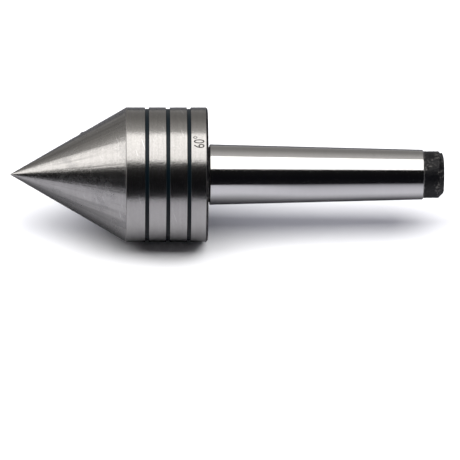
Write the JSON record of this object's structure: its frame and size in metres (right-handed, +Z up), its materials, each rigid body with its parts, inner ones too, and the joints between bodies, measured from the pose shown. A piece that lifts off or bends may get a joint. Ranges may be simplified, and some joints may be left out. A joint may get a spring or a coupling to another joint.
{
  "type": "live center",
  "caption": "Lathe live center: a grooved steel head with a 60 degree point turns on hidden bearings around a Morse-taper shank.",
  "frame": {"origin": "on the axis at the Morse taper's gauge plane, where the taper is 17.780 mm across, 5 mm behind the taper's large end", "axes": "+X along the axis from the point to the shank's tail, +Z up with the axis level"},
  "size_m": [0.1288, 0.04, 0.04],
  "materials": {
    "ground_head_steel": "fine ground hardened steel, dark blue-black paint in three grooves",
    "polished_shank_steel": "fine ground taper, black unground tail end",
    "black_oxide_steel": "black oxide, satin",
    "wool_felt": "pressed wool felt, lightly oiled",
    "shim_steel": "rolled shim stock",
    "bearing_ring_steel": "ground bearing steel",
    "bearing_ball_steel": "polished bearing steel",
    "pressed_cage_steel": "pressed sheet steel, tumbled",
    "pressed_shield_steel": "pressed sheet steel, zinc plated",
    "phosphated_spring_steel": "phosphated and oiled spring steel"
  },
  "bodies": {
    "shank": {"shank_spindle": "polished_shank_steel", "ball_bearing_inner_ring": "bearing_ring_steel", "spindle_circlip": "phosphated_spring_steel", "thrust_shaft_washer": "bearing_ring_steel"},
    "head": {"revolving_head": "ground_head_steel", "rear_cover": "black_oxide_steel", "felt_seal_ring": "wool_felt", "clearance_shim": "shim_steel", "ball_bearing_outer_ring": "bearing_ring_steel", "ball_bearing_front_shield": "pressed_shield_steel", "ball_bearing_rear_shield": "pressed_shield_steel", "thrust_housing_washer": "bearing_ring_steel", "needle_cup": "pressed_shield_steel"},
    "rear_ball_set": {"ball_bearing_balls": "bearing_ball_steel", "ball_bearing_cage_front_half": "pressed_cage_steel", "ball_bearing_cage_rear_half": "pressed_cage_steel", "ball_bearing_cage_rivets": "pressed_cage_steel"},
    "thrust_ball_set": {"thrust_balls": "bearing_ball_steel", "thrust_cage": "pressed_cage_steel"},
    "needle_set": {"needle_rollers": "bearing_ball_steel", "needle_cage": "pressed_cage_steel"}
  },
  "joints": [
    {"name": "head_spin", "type": "hinge", "parent": "shank", "child": "head", "pos_m": [0, 0, 0], "axis": [1, 0, 0], "continuous": true},
    {"name": "rear_ball_orbit", "type": "hinge", "parent": "shank", "child": "rear_ball_set", "pos_m": [0, 0, 0], "axis": [1, 0, 0], "continuous": true},
    {"name": "thrust_ball_orbit", "type": "hinge", "parent": "shank", "child": "thrust_ball_set", "pos_m": [0, 0, 0], "axis": [1, 0, 0], "continuous": true},
    {"name": "needle_orbit", "type": "hinge", "parent": "shank", "child": "needle_set", "pos_m": [0, 0, 0], "axis": [1, 0, 0], "continuous": true}
  ],
  "couplings": [
    {"joint": "rear_ball_orbit", "follows": "head_spin", "ratio": 0.60132},
    {"joint": "thrust_ball_orbit", "follows": "head_spin", "ratio": 0.5},
    {"joint": "needle_orbit", "follows": "head_spin", "ratio": 0.56522}
  ]
}
